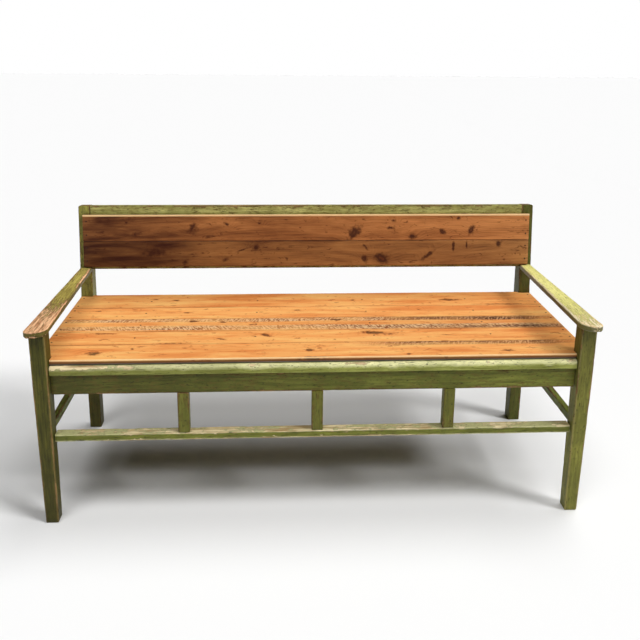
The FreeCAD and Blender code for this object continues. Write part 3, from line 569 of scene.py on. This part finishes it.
def torn_band(tree, colour, grit, x, width, bend, tone, flat, band):
    """Torn grain along a board: short slanting ridges, pale on top and dark between."""
    middle, half, start, end, darkness, turn = band
    off = add(tree, "ShaderNodeMath", {0: width, 1: middle + 0.02}, operation="SUBTRACT")
    bent = add(tree, "ShaderNodeMath", {0: bend, 1: 0.04, 2: off.outputs[0]}, operation="MULTIPLY_ADD")
    size = add(tree, "ShaderNodeMath", {0: bent.outputs[0]}, operation="ABSOLUTE")
    # The band fades out at its sides, its start, its end and in patches.
    mask = 1.0
    for value, near, far, least, most in (
            (size.outputs[0], half * 0.6, half, 1.0, 0.0), (x, start - 0.10, start + 0.10, 0.0, 1.0),
            (x, end - 0.06, end + 0.06, 1.0, 0.0), (tone, 0.42, 0.60, 1.0, 0.5)):
        limit = add(tree, "ShaderNodeMapRange", {"Value": value, "From Min": near,
                "From Max": far, "To Min": least, "To Max": most})
        mask = add(tree, "ShaderNodeMath", {0: mask, 1: limit.outputs[0]},
                operation="MULTIPLY").outputs[0]
    # Ridges 6 mm apart, drawn twice as coarse as the plane left them.
    slant = add(tree, "ShaderNodeMapping", {"Vector": flat, "Rotation": (0.0, 0.0, math.radians(turn)),
            "Scale": (0.018, 0.0055, 1.0)}, vector_type="TEXTURE")
    marks = add(tree, "ShaderNodeTexNoise", {"Vector": slant.outputs[0], "Scale": 1.0, "Detail": 2.0,
            "Roughness": 0.55, "Distortion": 0.4}).outputs["Fac"]
    deep, high = [
        add(tree, "ShaderNodeMix", {0: darkness, 6: linear(fresh), 7: linear(darkened)},
            data_type="RGBA").outputs[2]
        for fresh, darkened in (("#9c5c32", "#422618"), ("#fcd6a2", "#b88a62"))]
    ridge = add(tree, "ShaderNodeMapRange", {"Value": marks, "From Min": 0.40 + 0.08 * darkness,
            "From Max": 0.52 + 0.08 * darkness})
    ridged = add(tree, "ShaderNodeMix", {0: ridge.outputs[0], 6: deep, 7: high},
            data_type="RGBA")
    mixed = add(tree, "ShaderNodeMix", {0: mask, 6: colour, 7: ridged.outputs[2]}, data_type="RGBA")
    rough = add(tree, "ShaderNodeMath", {0: mask, 1: marks, 2: grit}, operation="MULTIPLY_ADD")
    return mixed.outputs[2], rough.outputs[0]


seat_colours = ("#fac072", "#ee954e", "#a65628")
seat_knots = {
    1: ((-0.668, -0.240, 0.026, 0.016, 0, 0.75), (-0.557, -0.211, 0.006, 0.012, 20, 0.6),
        (-0.021, -0.232, 0.013, 0.010, 0, 0.9), (-0.004, -0.283, 0.050, 0.004, 0, 0.9),
        (0.275, -0.270, 0.012, 0.008, 0, 0.6), (0.581, -0.253, 0.020, 0.008, 0, 0.75)),
    2: ((-0.45, -0.172, 0.060, 0.004, 0, 0.7), (-0.300, -0.142, 0.022, 0.006, -25, 0.75),
        (-0.155, -0.117, 0.022, 0.010, -35, 0.85), (0.201, -0.108, 0.065, 0.013, -8, 0.85),
        (-0.68, -0.092, 0.060, 0.008, 0, 0.6), (0.42, -0.13, 0.05, 0.003, -12, 0.5)),
    3: ((-0.396, 0.005, 0.018, 0.010, 0, 0.85), (-0.300, -0.006, 0.015, 0.007, 0, 0.75),
        (-0.202, -0.030, 0.022, 0.006, 0, 0.6), (0.080, 0.006, 0.030, 0.010, 0, 0.7)),
    4: ((-0.429, 0.083, 0.018, 0.006, 0, 0.7), (-0.738, 0.103, 0.035, 0.007, 0, 0.6),
        (-0.045, 0.097, 0.020, 0.006, 0, 0.65), (0.375, 0.093, 0.010, 0.016, 15, 0.5)),
    5: ((0.503, 0.186, 0.040, 0.013, 0, 0.75), (-0.555, 0.213, 0.014, 0.008, 0, 0.6),
        (-0.481, 0.203, 0.012, 0.009, 0, 0.75), (0.152, 0.191, 0.016, 0.008, 0, 0.6),
        (0.68, 0.140, 0.090, 0.003, 0, 0.8))}
seat_torn = {
    1: ((-0.190, 0.018, 0.20, 0.76, 0.85, 62),),
    3: ((0.010, 0.018, -0.82, 0.28, 0.35, 62), (0.012, 0.021, 0.26, 0.78, 0.9, 62),
        (-0.054, 0.021, -0.82, 0.82, 0.35, -60), (-0.064, 0.015, 0.45, 0.80, 0.85, -60))}
# Board 3 is stained darker towards its right end; board 5 is darker at its left end with painted shade.
seat_stains_and_shade = {3: ((-0.8, 0.0), (0.2, 0.08), (0.8, 0.14)),
               5: ((-0.8, 0.12), (-0.3, 0.06), (0.0, 0.0))}
for number in range(1, 6):
    node = "seat_board_%d" % number
    low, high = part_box(node)

    def limits(x):
        front = leg_back + notch_fit if number == 1 and abs(x) > notch_edge else low.y
        back = rear_y - board_joint if number == 5 and abs(x) > post_notch_edge else high.y
        return front, back, low.z, high.z
    # The front board's top front arris is drawn pale, partly wear and partly a painted highlight, and
    # its front face is darkened below it with painted shade.
    front_arris_highlight_and_shade = (low.y, high.z, 0.0045, 0.9) if number == 1 else None
    pine = waxed_pine("Waxed pine, seat board %d" % number, 1, seat_colours, number * 1.37,
                      seat_knots[number], seat_torn.get(number, ()), stain_and_shade=seat_stains_and_shade.get(number, ()),
                      pale_arris_and_shade=front_arris_highlight_and_shade, unwaxed_below=low.z + 0.002, knot_depth=0.8)
    notches = {1: notch_edge, 5: post_notch_edge}.get(number)
    steps = [sign * (notches + d) for sign in (-1, 1) for d in (-saw_cut, saw_cut)] if notches else ()
    board = sawn(node + "_waxed", 0, low.x, high.x, limits, pine, board_arris, board_end_arris,
            bow=0.0004, knocks=0.8, breaks=steps)
    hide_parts(node)
    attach(board, "bench_frame")

# Back. Two older, redder pine boards are nailed to the front of a green frame of
# two rails between the leaning posts.
hinge_line = Vector((0.0, rear_y, seat_top))
upright_turn = (Matrix.Translation(hinge_line) @ Matrix.Rotation(lean, 4, "X")
                @ Matrix.Translation(-hinge_line))
lean_turn = upright_turn.inverted()


def upright_box(node):
    """A leaning node's lowest and highest corners, as if the back stood upright."""
    corners = [upright_turn @ v.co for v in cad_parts[node].data.vertices]
    return (Vector([min(c[i] for c in corners) for i in range(3)]),
            Vector([max(c[i] for c in corners) for i in range(3)]))


def leaned_bar(node, name, start, end, material, arris):
    """A rail or board of the back, shaped upright and then leaned with the posts."""
    low, high = upright_box(node)
    bar = sawn(name, 0, start, end, lambda x: (low.y, high.y, low.z, high.z), material, arris,
            board_end_arris, bow=0.0003)
    bar.data.transform(lean_turn)
    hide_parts(node)
    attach(bar, "bench_frame")


back_paint = green_paint("Old green oil paint, back rails", 0, "#d8d686", "#8c8a46", 0.03, 8.4)
leaned_bar("back_top_rail", "back_top_rail_worn", -post_inner, post_inner, back_paint, 0.0025)
leaned_bar("back_bottom_rail", "back_bottom_rail_worn", -post_inner, post_inner, back_paint, 0.002)
back_colours = {"back_board_lower": ("#c68a4e", "#a16b3b", "#542c12"),
                "back_board_upper": ("#ea9f5c", "#c47d44", "#603214")}
# Both back boards are darker towards their left ends.
back_darkening = {
    "back_board_lower": ((-0.78, 0.87), (-0.5, 0.8), (-0.36, 0.45), (0.1, 0.28), (0.75, 0.1)),
    "back_board_upper": ((-0.78, 0.78), (-0.5, 0.70), (-0.3, 0.45), (0.12, 0.42), (0.34, 0.26),
                         (0.75, 0.1))}
back_knots = {
    "back_board_lower": (
        (-0.567, 0.690, 0.060, 0.020, 0, 0.55), (-0.452, 0.655, 0.014, 0.012, 40, 0.7),
        (-0.307, 0.663, 0.018, 0.009, 30, 0.7), (-0.195, 0.705, 0.016, 0.014, 60, 0.7),
        (-0.24, 0.70, 0.030, 0.004, 20, 0.6), (0.207, 0.662, 0.012, 0.016, 20, 0.8),
        (0.262, 0.664, 0.028, 0.016, -10, 0.9), (0.207, 0.706, 0.016, 0.006, -40, 0.7),
        (0.438, 0.676, 0.030, 0.008, 35, 0.75), (0.532, 0.707, 0.005, 0.018, 0, 0.85),
        (0.581, 0.713, 0.004, 0.014, 0, 0.8), (0.700, 0.716, 0.010, 0.012, 0, 0.8)),
    "back_board_upper": (
        (-0.658, 0.799, 0.008, 0.007, 0, 0.6), (-0.618, 0.757, 0.030, 0.014, 0, 0.4),
        (-0.422, 0.778, 0.020, 0.024, -30, 0.7), (-0.301, 0.793, 0.013, 0.008, -30, 0.7),
        (-0.183, 0.795, 0.011, 0.006, -20, 0.65), (-0.016, 0.802, 0.008, 0.006, 0, 0.5),
        (0.165, 0.760, 0.028, 0.016, 45, 0.9), (0.309, 0.803, 0.010, 0.006, -15, 0.7),
        (0.299, 0.776, 0.024, 0.012, 0, 0.4), (0.379, 0.746, 0.016, 0.010, 0, 0.75),
        (0.488, 0.764, 0.014, 0.009, -30, 0.85), (0.548, 0.812, 0.010, 0.006, 0, 0.75),
        (0.598, 0.768, 0.011, 0.020, -25, 0.85))}
for node, shift in (("back_board_lower", 2.2), ("back_board_upper", 4.1)):
    low, high = upright_box(node)
    corner = lean_turn @ Vector((0.0, low.y, high.z))
    # The upper board's top arris is drawn pale as a painted highlight.
    top_arris_highlight = (corner.y, corner.z, 0.007, 0.0) if node == "back_board_upper" else None
    pine = waxed_pine("Dark waxed pine, %s" % node.replace("_", " "), 2, back_colours[node], shift,
                      back_knots[node], joint=0.8, stain_and_shade=back_darkening[node], pale_arris_and_shade=top_arris_highlight)
    leaned_bar(node, node + "_waxed", low.x, high.x, pine, board_arris)

# Pull-out front. A moulded head rail over a plain apron board, with three short
# uprights down to a lower stretcher, all painted green.
# The apron's paint darkens towards its left end with painted shade.
front_paint_with_shade = green_paint("Old green oil paint, apron", 0, "#868a3a", "#575b20", 0.0, 4.6,
                          painted_shade=(0, -0.8, 0.5, 0.68))
# The moulded rail also darkens towards its left end with painted shade, and its pale crown is partly
# rubbed paint and partly a painted highlight.
rail_paint_with_light_and_shade = green_paint("Rubbed green oil paint, moulded rail", 0, "#b4b860", "#7a7e36", -0.20, 0.9,
                         ("#9a7650", "#f0dcae"), ((0, -0.82, -0.35, 0.22),), pale="#fffbc0",
                         painted_shade=(0, -0.8, 0.1, 0.42))
moulding_low, moulding_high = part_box("front_moulding")
crown_radius, crown_drop, bead_radius = 0.011, 0.017, 0.002
rail_steps = 150
trodden = 0.75               # how worn the stretcher's top is, from feet


def moulding_section(place):
    """Rounded over at the top of its face, with a small round at the bottom."""
    (_, y0, z0), (_, y1, z1) = moulding_low, moulding_high
    knock = max(0.0, noise.noise(Vector((place * 27, 1.7, 4.4))) - 0.25)
    crown, drop = crown_radius * (1 + 0.5 * knock), crown_drop * (1 + 0.3 * knock)
    points = []
    # Each point carries its wear as well. On the crown the wear peaks near the top, so the pale there
    # is partly rubbed paint and partly a painted highlight.
    for step in range(9):
        angle = math.radians(90 + 90 * step / 8)
        points.append((y0 + crown + crown * math.cos(angle), z1 - drop + drop * math.sin(angle),
                       1.15 - abs(step - 2.5) / 5.5 + 0.5 * knock))
    points.append((y0, (z0 + z1 - drop) / 2, 0.0))
    bead = bead_radius * (1 + 0.6 * noise.noise(Vector((place * 19, 8.1, 2.2))))
    for step in range(4):
        angle = math.radians(180 + 30 * step)
        points.append((y0 + bead + bead * math.cos(angle), z0 + bead + bead * math.sin(angle), 0.1))
    points += [(y1, z0, 0.3), (y1, (z0 + z1) / 2, 0.0), (y1, z1, 0.3),
            ((y0 + y1) / 2 + crown / 2, z1, 0.0)]
    return points


rail_start, rail_length = moulding_low.x, moulding_high.x - moulding_low.x
rail_places = [rail_start + rail_length * i / rail_steps for i in range(rail_steps + 1)]
rail_rings = [(x, moulding_section(x)) for x in rail_places]
moulding = lofted("front_moulding_worn", 0, rail_rings, rail_paint_with_light_and_shade)
apron_low, apron_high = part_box("apron")
apron = sawn("apron_worn", 0, apron_low.x, apron_high.x,
             lambda x: (apron_low.y, apron_high.y, apron_low.z, moulding_low.z), front_paint_with_shade, 0.002)
stretcher_low, stretcher_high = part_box("lower_stretcher")
stretcher = sawn("lower_stretcher_worn", 0, stretcher_low.x, stretcher_high.x,
                 lambda x: (stretcher_low.y, stretcher_high.y, stretcher_low.z, stretcher_high.z),
                 green_paint("Worn green oil paint, stretcher", 0, "#888d3a", "#5b6024", 0.0, 11.3,
                             ("#a88c5c", "#f0e2b4"), pale="#f2edb4"),
                 0.003, knocks=1.3)
rubbed_by_feet = stretcher.data.attributes["wear"].data
for vertex in stretcher.data.vertices:
    if vertex.co.z > stretcher_high.z - 0.001:
        rubbed_by_feet[vertex.index].value = trodden
upright_paint = green_paint("Old green oil paint, uprights", 2, "#848436", "#5b5c22", 0.0, 12.2)
uprights = []
for side in ("left", "middle", "right"):
    low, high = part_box(side + "_upright")
    post = sawn(side + "_upright_worn", 2, stretcher_high.z, apron_low.z,
                lambda z: (low.x, high.x, low.y, high.y), upright_paint, 0.002)
    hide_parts(side + "_upright")
    uprights.append(post)
for piece, node in ((moulding, "front_moulding"), (apron, "apron"), (stretcher, "lower_stretcher")):
    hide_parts(node)
for piece in [moulding, apron, stretcher] + uprights:
    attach(piece, "pull_out_bed")

# Sliding slats. They are rough sawn, never painted, and repeat at one even step
# across the bench, each let into the moulded rail and pegged.
bare_colours = ("#a89a84", "#8a7c66", "#584c3c")
bare = waxed_pine("Unpainted pine, dry and brown", 1, bare_colours, 9.0)
bare_along_y = waxed_pine("Unpainted pine, dry and brown, slats", 1, bare_colours, 5.0, turned=True)


def begin_tree(name, inputs):
    """A node tree for a mesh, with its named inputs, and the sockets that hold them."""
    tree = bpy.data.node_groups.new(name, "GeometryNodeTree")
    for label, kind in inputs:
        tree.interface.new_socket(label, in_out="INPUT", socket_type="NodeSocket" + kind)
    tree.interface.new_socket("Mesh", in_out="OUTPUT", socket_type="NodeSocketGeometry")
    return tree, add(tree, "NodeGroupInput").outputs


def end_tree(tree, copies, finish):
    """Ends a tree: the copies become one real mesh with their material."""
    real = add(tree, "GeometryNodeRealizeInstances", {"Geometry": copies.outputs[0]})
    finished = add(tree, "GeometryNodeSetMaterial", {"Geometry": real.outputs[0], "Material": finish})
    add(tree, "NodeGroupOutput", {"Mesh": finished.outputs[0]})


def set_inputs(piece, tree, values):
    """Adds a node tree to a piece and sets the tree's named inputs."""
    modifier = piece.modifiers.new(tree.name, "NODES")
    modifier.node_group = tree
    for socket in tree.interface.items_tree:
        if socket.name in values:
            modifier[socket.identifier] = values[socket.name]


def make_plain(piece):
    """Turns what a piece's node tree makes into its own mesh."""
    graph = bpy.context.evaluated_depsgraph_get()
    mesh = bpy.data.meshes.new_from_object(piece.evaluated_get(graph), depsgraph=graph)
    piece.modifiers.clear()
    piece.data = mesh
    mesh.name = piece.name


def in_a_row(unit, count, step):
    """Repeats a piece at even steps with a node tree and leaves it a plain mesh."""
    tree, given = begin_tree(unit.name + "_row", (("Piece", "Geometry"), ("Count", "Int"),
                             ("Step", "Vector"), ("Finish", "Material")))
    line = add(tree, "GeometryNodeMeshLine", {"Count": given["Count"], "Offset": given["Step"]})
    copies = add(tree, "GeometryNodeInstanceOnPoints", {"Points": line.outputs[0],
            "Instance": given["Piece"]})
    end_tree(tree, copies, given["Finish"])
    set_inputs(unit, tree, {"Count": count, "Step": step, "Finish": unit.data.materials[0]})
    make_plain(unit)


def row_of(word, count, body, arris):
    """All pieces of one kind as one mesh, from the first one's box and the even step."""
    nodes = ["%s_%d" % (word, i + 1) for i in range(count)]
    low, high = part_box(nodes[0])
    step = (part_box(nodes[-1])[0].x - low.x) / (count - 1)
    piece = sawn(word + "s_sawn", 1, low.y, high.y, lambda y: (low.x, high.x, low.z, high.z),
            bare_along_y, arris, bow=0.0006)
    in_a_row(piece, count, (step, 0.0, 0.0))
    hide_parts(*nodes)
    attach(piece, body)


row_of("bed_slat", 8, "pull_out_bed", 0.0015)

# Crossbar and cross rail, the runners, the battens and the folding legs with their
# pivot blocks: plain sawn pine that has gone brown where nobody looks.
for node, body in (("slide_crossbar", "pull_out_bed"), ("front_cross_rail", "bench_frame")):
    low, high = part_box(node)
    bar = sawn(node + "_sawn", 0, low.x, high.x, lambda x: (low.y, high.y, low.z, high.z), bare, 0.0015,
               bow=0.0004)
    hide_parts(node)
    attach(bar, body)


def refinish(node, material):
    """Gives its material to a piece that keeps its constructed shape."""
    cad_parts[node].data.materials.clear()
    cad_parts[node].data.materials.append(material)


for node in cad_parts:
    if node.startswith(("seat_batten", "left_slide", "right_slide", "left_prop", "right_prop",
                        "left_pivot_block", "right_pivot_block", "slat_pegs")):
        along_y = node.startswith("seat_batten") or "runner" in node
        refinish(node, bare_along_y if along_y else bare)
for node, paint in (("rear_seat_rail", back_paint), ("upright_pegs", front_paint_with_shade),
                    ("side_rail_pegs", side_paint)):
    refinish(node, paint)

# Nails, screws and washers. Wrought iron, gone brown-black; the nail heads are four
# sided, a little domed by the hammer, and driven flush with the boards.
head_width, head_height, head_sunk = 0.0060, 0.0012, 0.0004
head_taper, most_turned = 0.7, math.radians(12)


def wrought_iron():
    """Forged iron, oxidised: nearly black, with rust in its pits and little shine."""
    material, tree = blank_finish("Wrought iron, oxidised")
    coords = add(tree, "ShaderNodeTexCoord").outputs["Object"]
    # Hammer scale in grains of 1 to 2 mm.
    scale = add(tree, "ShaderNodeTexNoise", {"Vector": coords, "Scale": 600.0, "Detail": 4.0,
            "Roughness": 0.6}).outputs["Fac"]
    rust = add(tree, "ShaderNodeValToRGB", {"Fac": scale},
            stops=((0.42, linear("#2b2420")), (0.62, linear("#5c3c28"))))
    dull = add(tree, "ShaderNodeMapRange", {"Value": scale, "To Min": 0.45, "To Max": 0.85})
    relief = add(tree, "ShaderNodeBump", {"Height": scale, "Strength": 0.4, "Distance": 0.0003})
    shader = add(tree, "ShaderNodeBsdfPrincipled", {"Base Color": rust.outputs[0],
            "Normal": relief.outputs[0], "Roughness": dull.outputs[0], "Metallic": 0.6})
    add(tree, "ShaderNodeOutputMaterial", {"Surface": shader.outputs[0]})
    return material


def head_places(node, turn, axis, sign):
    """The middle of each nail head in a node, on the face where it shows."""
    corners = [turn @ v.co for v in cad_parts[node].data.vertices]
    face = max(c[axis] * sign for c in corners)
    groups = []
    for corner in corners:
        if corner[axis] * sign < face - head_sunk:
            continue
        for group in groups:
            if (group[0] - corner).length < head_width * 2:
                group.append(corner)
                break
        else:
            groups.append([corner])
    return [Vector([(min(c[i] for c in group) + max(c[i] for c in group)) / 2 for i in range(3)])
            for group in groups]


def nail_heads(node, material, turn=Matrix.Identity(4), axis=2, sign=1):
    """Nail heads on the points of a mesh: a low four-sided cone on each, turned a little."""
    mesh = bpy.data.meshes.new(node)
    mesh.from_pydata([turn.inverted() @ place for place in head_places(node, turn, axis, sign)], [], [])
    heads = placed(node + "_heads", mesh)
    tree, given = begin_tree(node + "_driven", (("Places", "Geometry"), ("Width", "Float"),
                             ("Height", "Float"), ("Facing", "Vector"), ("Spread", "Float"),
                             ("Finish", "Material")))
    half = add(tree, "ShaderNodeMath", {0: given["Width"], 1: math.sqrt(0.5)}, operation="MULTIPLY")
    crown = add(tree, "ShaderNodeMath", {0: half.outputs[0], 1: head_taper}, operation="MULTIPLY")
    head = add(tree, "GeometryNodeMeshCone", {"Vertices": 4, "Radius Top": crown.outputs[0],
            "Radius Bottom": half.outputs[0], "Depth": given["Height"]})
    facing = add(tree, "FunctionNodeAlignEulerToVector", {"Vector": given["Facing"]}, axis="Z")
    back = add(tree, "ShaderNodeMath", {0: given["Spread"], 1: -1.0}, operation="MULTIPLY")
    turned = add(tree, "FunctionNodeRandomValue", {"Min": back.outputs[0], "Max": given["Spread"],
            "Seed": 4}, data_type="FLOAT")
    about = add(tree, "ShaderNodeCombineXYZ", {"Z": turned.outputs[1]})
    spun = add(tree, "FunctionNodeRotateEuler", {"Rotation": facing.outputs[0],
            "Rotate By": about.outputs[0]}, space="LOCAL")
    copies = add(tree, "GeometryNodeInstanceOnPoints", {"Points": given["Places"],
            "Instance": head.outputs[0], "Rotation": spun.outputs[0]})
    end_tree(tree, copies, given["Finish"])
    facing_out = turn.inverted().to_3x3() @ Vector([sign if i == axis else 0.0 for i in range(3)])
    for vertex in mesh.vertices:
        vertex.co -= facing_out * (head_height - head_sunk)
    set_inputs(heads, tree, {"Width": head_width, "Height": head_height, "Facing": facing_out,
                             "Spread": most_turned, "Finish": material})
    make_plain(heads)
    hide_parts(node)
    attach(heads, "bench_frame")


iron = wrought_iron()
nail_heads("seat_nails", iron)
nail_heads("back_nails", iron, upright_turn, 1, -1)
for node in ("left_pivot_screw", "right_pivot_screw", "left_pivot_washer", "right_pivot_washer"):
    refinish(node, iron)

# Studio. A pale matt floor runs back under a white wall. Three soft lights, one a
# little left, one a little right and one well to the right of overhead, leave the
# fronts dim and throw a soft shadow under the bench and to its left.
floor_shape = bmesh.new()
bmesh.ops.create_grid(floor_shape, x_segments=1, y_segments=1, size=30)
floor_mesh = bpy.data.meshes.new("floor")
floor_shape.to_mesh(floor_mesh)
floor = placed("floor", floor_mesh)
floor_finish = bpy.data.materials.new("Matt white paper")
floor_finish.use_nodes = True
paper = floor_finish.node_tree.nodes["Principled BSDF"].inputs
paper["Base Color"].default_value = linear("#f4f4f4")
paper["Roughness"].default_value, paper["Specular IOR Level"].default_value = 0.95, 0.0
floor_mesh.materials.append(floor_finish)

world = bpy.data.worlds.new("studio")
bpy.context.scene.world = world
world.use_nodes = True
sky = world.node_tree
sky.nodes.clear()
# The wall is seen, but it gives no light.
seen = add(sky, "ShaderNodeLightPath").outputs["Is Camera Ray"]
wall = add(sky, "ShaderNodeBackground", {"Color": (1.0, 1.0, 1.0, 1.0), "Strength": seen})
add(sky, "ShaderNodeOutputWorld", {"Surface": wall.outputs[0]})


def soft_light(name, direction, spread, energy):
    """A far, broad light; direction is the way it shines and spread its angle in degrees."""
    light = placed(name, bpy.data.lights.new(name, "SUN"))
    light.data.energy = energy
    light.data.angle = math.radians(spread)
    light.rotation_mode = "QUATERNION"
    light.rotation_quaternion = Vector(direction).to_track_quat("-Z", "Y")


soft_light("overhead left", (0.18, 0.42, -1.0), 28, 1.1)
soft_light("overhead right", (-0.85, 0.42, -1.0), 17, 1.85)
soft_light("overhead", (-0.3, -0.24, -1.0), 28, 1.1)
window = placed("window", bpy.data.lights.new("window", "AREA"))
window.data.energy, window.data.size = 3.0, 1.4
window.location = (2.4, -2.4, 0.9)
lit_spot = Vector((0.3, 0.0, 0.4))
window.rotation_mode = "QUATERNION"
window.rotation_quaternion = (lit_spot - window.location).to_track_quat("-Z", "Y")
